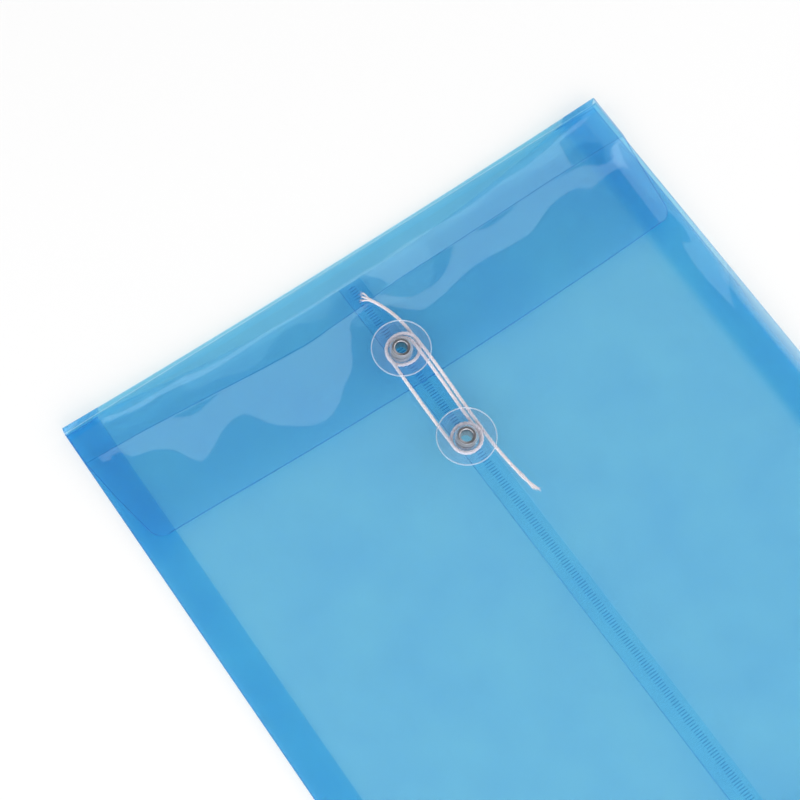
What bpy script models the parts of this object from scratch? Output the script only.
"""Gusseted film envelope with a string-and-button closure, lying flap side up.

X is its width, Y runs from the closed bottom to the flap fold, Z is up. Lengths are in metres.
"""

import math

import bpy
import numpy as np

MM = 0.001

# Film envelope
WIDTH = 247.65 * MM
LENGTH = 295.3 * MM
FILM = 0.2 * MM
GAP = 0.3 * MM
POCKET = 4.75 * MM
GUSSET = 13.8 * MM
MOUTH_DIP = 11.6 * MM
MOUTH_SIDE = 3.5 * MM
MOUTH_STEPS = 24
SEAM_X = -1.5 * MM
SEAM_WIDTH = 10.0 * MM
BOTTOM_FLAP = 28.0 * MM
BOTTOM_TAPER = 6.0 * MM

# Closing flap
FLAP_DEPTH = 57.7 * MM
FLAP_BAND = 20.5 * MM
FLAP_TAPER = 6.1 * MM
FLAP_CORNER = 5.0 * MM
FLAP_BOW = 3.1 * MM
CORNER_STEPS = 6
BOW_STEPS = 24

# Buttons and eyelets
BUTTON_X = -2.9 * MM
UPPER_INSET = 11.4 * MM
BUTTON_PITCH = 42.1 * MM
BUTTON_RADIUS = 11.45 * MM
BUTTON_THICK = 0.8 * MM
BUTTON_EDGE = 0.2 * MM
HUB_RADIUS = 4.5 * MM
EYELET_HOLE = 2.3 * MM
EYELET_WALL = 0.3 * MM
EYELET_FLANGE = 3.6 * MM
EYELET_CLINCH = 3.8 * MM
FLANGE_THICK = 0.45 * MM
CLINCH_THICK = 0.35 * MM
EYELET_EDGE = 0.15 * MM
SEAT_GAP = 0.2 * MM
FLAP_CLEAR = 0.1 * MM
RUN_GAP = 0.06 * MM
TURN_STEPS = 40

# Tie string
STRING = 1.4 * MM
STRING_GAP = 0.5 * MM
LOOP_POINTS = 24
CAP_GAP = 0.3 * MM
SHORT_TIP = (0.3 * MM, 26.3 * MM)
SHORT_BEND = ((8.5 * MM, 17.5 * MM), (6.0 * MM, 8.0 * MM))
LONG_TIP = (10.4 * MM, -31.3 * MM)
LONG_BEND = (7.9 * MM, -17.0 * MM)
DROP_START = 2.0 * MM
DROP_END = 8.0 * MM
RUN_POINTS = 80
TIE_TURN = 360
TIE_CLIMB = (220, 80)
LOWER_TURN = 540
LOWER_CLIMB = (180, 150)
OVER_TURN = 180
OVER_SHIFT = (0, 80)

# Heights of the layers, from the table up
HALF_X = WIDTH / 2
HALF_Y = LENGTH / 2
POCKET_FLOOR = FILM
POCKET_ROOF = POCKET_FLOOR + POCKET
BACK_LEFT_TOP = POCKET_ROOF + FILM
BACK_RIGHT_LOW = BACK_LEFT_TOP + GAP
BACK_TOP = BACK_RIGHT_LOW + FILM
BOTTOM_FLAP_LOW = BACK_TOP + GAP
FLAP_LOW = BACK_TOP + GAP + CLINCH_THICK + SEAT_GAP + FLAP_CLEAR
FLAP_TOP = FLAP_LOW + FILM
CREASE_Y = HALF_Y - FILM / 2
POCKET_MIDDLE = (POCKET_FLOOR + POCKET_ROOF) / 2
BOTTOM_Y = -CREASE_Y + GAP

# Fastener places and heights
UPPER_Y = HALF_Y - FLAP_DEPTH + UPPER_INSET
LOWER_Y = UPPER_Y - BUTTON_PITCH
BARREL = EYELET_HOLE + EYELET_WALL
FILM_HOLE = BARREL + GAP
STAND = 2 * GAP + 2 * STRING + STRING_GAP
DISC_TOP = STAND + BUTTON_THICK

# String layout round the hubs
RING = HUB_RADIUS + GAP + STRING / 2
PITCH = STRING + STRING_GAP
OUTER = RING + PITCH
UPPER_LOW = FLAP_TOP + GAP + STRING / 2
UPPER_HIGH = UPPER_LOW + PITCH
LOWER_LOW = BACK_TOP + GAP + STRING / 2
LOWER_HIGH = LOWER_LOW + PITCH


def clear_scene():
    """Removes every object that the scene starts with."""
    for item in list(bpy.data.objects):
        bpy.data.objects.remove(item)


def material(name, colour, roughness, metallic=0.0, alpha=1.0):
    """One Principled material."""
    mat = bpy.data.materials.new(name)
    mat.use_nodes = True
    shader = mat.node_tree.nodes["Principled BSDF"]
    shader.inputs["Base Color"].default_value = (*colour, 1.0)
    shader.inputs["Roughness"].default_value = roughness
    shader.inputs["Metallic"].default_value = metallic
    shader.inputs["Alpha"].default_value = alpha
    mat.diffuse_color = (*colour, alpha)
    return mat


def add(name, data, look):
    """Links one named piece to the parts collection."""
    item = bpy.data.objects.new(name, data)
    PARTS.objects.link(item)
    data.materials.append(look)
    return item


def closed_mesh(name, points, faces, look):
    """A solid from its corners and faces."""
    mesh = bpy.data.meshes.new(name)
    mesh.from_pydata([tuple(p) for p in points], [], faces)
    mesh.validate()
    return add(name, mesh, look)


def sheet(name, outlines, low, look):
    """A flat sheet of film whose underside is at low. The outlines after the first are holes."""
    curve = bpy.data.curves.new(name, "CURVE")
    curve.dimensions = "2D"
    curve.fill_mode = "BOTH"
    curve.extrude = FILM / 2
    for outline in outlines:
        spline = curve.splines.new("POLY")
        spline.points.add(len(outline) - 1)
        for point, (x, y) in zip(spline.points, outline):
            point.co = (x, y, 0, 1)
        spline.use_cyclic_u = True
    item = add(name, curve, look)
    item.location.z = low + FILM / 2
    return item


def upright(name, y, low, high, look):
    """A strip of film that stands on its edge across the whole width."""
    x, near, far = HALF_X, y - FILM / 2, y + FILM / 2
    ring = [(-x, near), (x, near), (x, far), (-x, far)]
    points = [(a, b, low) for a, b in ring] + [(a, b, high) for a, b in ring]
    return closed_mesh(name, points, BOX_FACES, look)


def leaf(name, side, edge_low, crease_low, look):
    """A gusset leaf that slopes from the side edge to the inner crease."""
    out, inner = side * HALF_X, side * (HALF_X - GUSSET)
    near, far = BOTTOM_Y, HALF_Y - MOUTH_SIDE
    ring = [(out, near), (inner, near), (inner, far), (out, far)]
    lows = [edge_low, crease_low, crease_low, edge_low]
    points = [(a, b, z) for (a, b), z in zip(ring, lows)]
    points += [(a, b, z + FILM) for (a, b), z in zip(ring, lows)]
    faces = BOX_FACES if side < 0 else [tuple(reversed(face)) for face in BOX_FACES]
    return closed_mesh(name, points, faces, look)


def turned(name, profile, centre, look):
    """A ring turned from a closed outline of radius and height."""
    mesh = bpy.data.meshes.new(name)
    count = len(profile)
    edges = [(i, (i + 1) % count) for i in range(count)]
    mesh.from_pydata([(r, 0, z) for r, z in profile], edges, [])
    item = add(name, mesh, look)
    item.location = (centre[0], centre[1], 0)
    screw = item.modifiers.new("turn", "SCREW")
    screw.axis = "Z"
    screw.angle = 2 * math.pi
    screw.steps = TURN_STEPS
    screw.render_steps = TURN_STEPS
    screw.use_merge_vertices = True
    screw.merge_threshold = 0.01 * MM
    screw.use_normal_calculate = True
    return item


def tube(name, points, look, bevel):
    """A round tube with closed ends along its points."""
    curve = bpy.data.curves.new(name, "CURVE")
    curve.dimensions = "3D"
    curve.bevel_depth = STRING / 2
    curve.bevel_resolution = bevel
    curve.use_fill_caps = True
    spline = curve.splines.new("POLY")
    spline.points.add(len(points) - 1)
    for point, place in zip(spline.points, points):
        point.co = (*place, 1)
    return add(name, curve, look)


def circle(x, y, radius):
    """The outline of a round hole."""
    turn = [2 * math.pi * i / TURN_STEPS for i in range(TURN_STEPS)]
    return [(x + radius * math.cos(a), y + radius * math.sin(a)) for a in turn]


def mouth_y(x):
    """How the mouth edge dips from the gusset creases to the middle."""
    across = min(1.0, abs(x) / (HALF_X - GUSSET))
    return HALF_Y - MOUTH_SIDE - (MOUTH_DIP - MOUTH_SIDE) * (1 - across ** 2)


def back_outline(left, right):
    """One back panel, with its curved mouth edge."""
    steps = np.linspace(right, left, MOUTH_STEPS + 1)
    return [(left, BOTTOM_Y), (right, BOTTOM_Y)] + [(x, mouth_y(x)) for x in steps]


def flap_outline():
    """The closing flap: a full-width band, then tapered sides, rounded corners and a bowed free edge."""
    top = CREASE_Y - GAP
    band = HALF_Y - FLAP_BAND
    low = HALF_Y - FLAP_DEPTH
    foot = HALF_X - FLAP_TAPER
    points = [(HALF_X, top), (HALF_X, band)]
    for i in range(CORNER_STEPS + 1):
        a = math.pi / 2 * i / CORNER_STEPS
        x = foot - FLAP_CORNER + FLAP_CORNER * math.cos(a)
        points.append((x, low + FLAP_CORNER - FLAP_CORNER * math.sin(a)))
    end = foot - FLAP_CORNER
    bow = np.linspace(end, -end, BOW_STEPS + 1)[1:-1]
    edge = [(x, low - FLAP_BOW * (1 - (x / end) ** 2)) for x in bow]
    return points + edge + [(-x, y) for x, y in reversed(points)]


def bottom_outline():
    """The bottom flap that closes the pocket's lower end on the back."""
    high = -HALF_Y + BOTTOM_FLAP
    return [
        (-HALF_X, BOTTOM_Y),
        (HALF_X, BOTTOM_Y),
        (HALF_X - BOTTOM_TAPER, high),
        (-HALF_X + BOTTOM_TAPER, high),
    ]


def button_profile(base):
    """A clear disc on the hub that the string winds round."""
    bore = BARREL + RUN_GAP
    edge = BUTTON_RADIUS - BUTTON_EDGE
    return [
        (bore, base + GAP),
        (HUB_RADIUS, base + GAP),
        (HUB_RADIUS, base + STAND),
        (edge, base + STAND),
        (BUTTON_RADIUS, base + STAND + BUTTON_EDGE),
        (BUTTON_RADIUS, base + DISC_TOP - BUTTON_EDGE),
        (edge, base + DISC_TOP),
        (bore, base + DISC_TOP),
    ]


def eyelet_profile(base, under):
    """A tubular eyelet: top flange on the button, clinched flange under the film."""
    top = base + DISC_TOP + SEAT_GAP + FLANGE_THICK
    low = under - SEAT_GAP - CLINCH_THICK
    return [
        (EYELET_HOLE, low),
        (EYELET_CLINCH - EYELET_EDGE, low),
        (EYELET_CLINCH, low + EYELET_EDGE),
        (EYELET_CLINCH, low + CLINCH_THICK),
        (BARREL, low + CLINCH_THICK),
        (BARREL, top - FLANGE_THICK),
        (EYELET_FLANGE, top - FLANGE_THICK),
        (EYELET_FLANGE, top - EYELET_EDGE),
        (EYELET_FLANGE - EYELET_EDGE, top),
        (EYELET_HOLE + EYELET_EDGE, top),
        (EYELET_HOLE, top - EYELET_EDGE),
    ]


def ease(t):
    """A smooth step from 0 to 1."""
    t = np.clip(t, 0.0, 1.0)
    return t * t * (3 - 2 * t)


def step_over(swept, ramp):
    """One string's pitch, gained over ramp: where it starts and how long it takes, in degrees."""
    start, length = ramp
    return PITCH * ease((swept - start) / length)


def wind(centre_y, start, turn, radius, height):
    """A clockwise run round a hub. radius and height are functions of degrees turned."""
    swept = np.linspace(0, turn, int(turn) + 1)
    angle = np.radians(start - swept)
    r, z = radius(swept), height(swept)
    return np.stack([BUTTON_X + r * np.cos(angle), centre_y + r * np.sin(angle), z], 1)


def strand(x, start_y, end_y, start_z, end_z):
    """A straight run between the hubs that eases from one height to the other."""
    t = np.linspace(0, 1, RUN_POINTS)
    run = abs(end_y - start_y)
    ramp = ease((t * run - DROP_START) / (run - DROP_START - DROP_END))
    y = start_y + (end_y - start_y) * t
    z = start_z + (end_z - start_z) * ramp
    return np.stack([np.full_like(t, BUTTON_X + x), y, z], 1)


def bezier(points, z):
    """A level curve through two ends, steered by the points between."""
    t = np.linspace(0, 1, RUN_POINTS)[:, None]
    pts = [np.array(p)[None, :] for p in points]
    while len(pts) > 1:
        pts = [a * (1 - t) + b * t for a, b in zip(pts[:-1], pts[1:])]
    return np.concatenate([pts[0], np.full((len(t), 1), z)], 1)


def beside(y, offset):
    """A place at an offset from the hub whose middle is at y."""
    return (BUTTON_X + offset[0], y + offset[1])


def string_runs():
    """The short end, the winding and the long end of one string."""
    short_ends = [SHORT_TIP, *SHORT_BEND, (RING, 0)]
    short = bezier([beside(UPPER_Y, p) for p in short_ends], UPPER_LOW)
    runs = [
        wind(
            UPPER_Y, 0, TIE_TURN,
            lambda s: RING + np.zeros_like(s),
            lambda s: UPPER_LOW + step_over(s, TIE_CLIMB),
        ),
        strand(RING, UPPER_Y, LOWER_Y, UPPER_HIGH, LOWER_LOW),
        wind(
            LOWER_Y, 0, LOWER_TURN,
            lambda s: RING + np.zeros_like(s),
            lambda s: LOWER_LOW + step_over(s, LOWER_CLIMB),
        ),
        strand(-RING, LOWER_Y, UPPER_Y, LOWER_HIGH, UPPER_HIGH),
        wind(
            UPPER_Y, OVER_TURN, OVER_TURN,
            lambda s: RING + step_over(s, OVER_SHIFT),
            lambda s: UPPER_HIGH + np.zeros_like(s),
        ),
        strand(OUTER, UPPER_Y, LOWER_Y, UPPER_HIGH, LOWER_LOW),
    ]
    long_ends = [(OUTER, 0), LONG_BEND, LONG_TIP]
    long = bezier([beside(LOWER_Y, p) for p in long_ends], LOWER_LOW)
    return short, np.concatenate(runs), long


def spaced(line, cut_start, cut_end):
    """Evenly spaced points along a line, less a little at either end."""
    step = np.linalg.norm(np.diff(line, axis=0), axis=1)
    along = np.concatenate([[0], np.cumsum(step)])
    first, last = cut_start, along[-1] - cut_end
    count = math.ceil((last - first) / (2 * math.pi * RING / LOOP_POINTS)) + 1
    at = np.linspace(first, last, count)
    return np.stack([np.interp(at, along, line[:, k]) for k in range(3)], 1)


def least_gap(line):
    """The least gap of a tube to itself, measured between closely spaced points on its middle."""
    step = np.linalg.norm(np.diff(line, axis=0), axis=1)
    along = np.concatenate([[0], np.cumsum(step)])
    at = np.arange(0, along[-1], STRING / 4)
    fine = np.stack([np.interp(at, along, line[:, k]) for k in range(3)], 1)
    apart = np.abs(at[:, None] - at[None])
    away = np.linalg.norm(fine[:, None] - fine[None], axis=2)
    return float(away[apart > 3 * STRING].min()) - STRING


clear_scene()
PARTS = bpy.data.collections.new("string_tie_envelope")
bpy.context.scene.collection.children.link(PARTS)
BOX_FACES = [(3, 2, 1, 0), (4, 5, 6, 7), (0, 1, 5, 4), (1, 2, 6, 5), (2, 3, 7, 6), (3, 0, 4, 7)]

blue_film = material("blue_polypropylene_film", (0.14, 0.47, 0.73), 0.25, alpha=0.55)
clear_pvc = material("clear_moulded_disc", (0.85, 0.9, 0.94), 0.1, alpha=0.35)
nickel = material("nickel_plated_eyelet", (0.7, 0.7, 0.7), 0.25, metallic=1.0)
cotton = material("white_cotton_string", (0.82, 0.8, 0.82), 0.9)

# Front panel with its two gusset leaves and the bottom spine
front_end = CREASE_Y - GAP
front = [(-HALF_X, -front_end), (HALF_X, -front_end), (HALF_X, front_end), (-HALF_X, front_end)]
sheet("front_panel", [front], 0.0, blue_film)
leaf_edge = POCKET_FLOOR + GAP
leaf_crease = POCKET_MIDDLE - GAP / 2 - FILM
leaf("left_gusset_front", -1, leaf_edge, leaf_crease, blue_film)
leaf("right_gusset_front", 1, leaf_edge, leaf_crease, blue_film)
spine_low = FILM / 2 + GAP
bottom_crease_z = BOTTOM_FLAP_LOW + FILM / 2
upright("bottom_spine", -CREASE_Y, spine_low, bottom_crease_z - GAP, blue_film)

# Two back panels lapped at the centre seam, their gusset leaves and the bottom flap
lower_hole = circle(BUTTON_X, LOWER_Y, FILM_HOLE)
left_back = back_outline(-HALF_X, SEAM_X + SEAM_WIDTH / 2)
right_back = back_outline(SEAM_X - SEAM_WIDTH / 2, HALF_X)
sheet("back_left_panel", [left_back, lower_hole], POCKET_ROOF, blue_film)
sheet("back_right_panel", [right_back, lower_hole], BACK_RIGHT_LOW, blue_film)
back_crease = POCKET_MIDDLE + GAP / 2
leaf("left_gusset_back", -1, POCKET_ROOF - GAP - FILM, back_crease, blue_film)
leaf("right_gusset_back", 1, BACK_RIGHT_LOW - GAP - FILM, back_crease, blue_film)
sheet("bottom_flap", [bottom_outline()], BOTTOM_FLAP_LOW, blue_film)

# Top spine and closing flap
flap_crease_z = FLAP_LOW + FILM / 2
upright("top_spine", CREASE_Y, spine_low, flap_crease_z - GAP, blue_film)
upper_hole = circle(BUTTON_X, UPPER_Y, FILM_HOLE)
sheet("closing_flap", [flap_outline(), upper_hole], FLAP_LOW, blue_film)

# Buttons and eyelets
upper = (BUTTON_X, UPPER_Y)
lower = (BUTTON_X, LOWER_Y)
turned("upper_button", button_profile(FLAP_TOP), upper, clear_pvc)
turned("lower_button", button_profile(BACK_TOP), lower, clear_pvc)
turned("upper_eyelet", eyelet_profile(FLAP_TOP, FLAP_LOW), upper, nickel)
turned("lower_eyelet", eyelet_profile(BACK_TOP, POCKET_ROOF), lower, nickel)

# Tie string
short_end, winding, long_end = string_runs()
winding_points = spaced(winding, CAP_GAP / 2, CAP_GAP / 2)
tube("string_short_end", spaced(short_end, 0, CAP_GAP / 2), cotton, 2)
tube("string_winding", winding_points, cotton, 1)
tube("string_long_end", spaced(long_end, CAP_GAP / 2, 0), cotton, 2)
whole = np.concatenate([short_end, winding, long_end])
whole_length = float(np.linalg.norm(np.diff(whole, axis=0), axis=1).sum())
print(f"string winding least gap to itself {least_gap(winding) / MM:.3f} mm")
print(f"whole string least gap to itself {least_gap(whole) / MM:.3f} mm")
print(f"string length {whole_length / MM:.1f} mm")
print(f"flap crease z {flap_crease_z / MM:.3f} mm, bottom crease z {bottom_crease_z / MM:.3f} mm")
print(f"crease y {CREASE_Y / MM:.3f} mm, upper y {UPPER_Y / MM:.3f}, lower y {LOWER_Y / MM:.3f}")
print(f"pocket clear from {POCKET_FLOOR / MM:.2f} to "
      f"{(POCKET_ROOF - SEAT_GAP - CLINCH_THICK) / MM:.2f} mm")
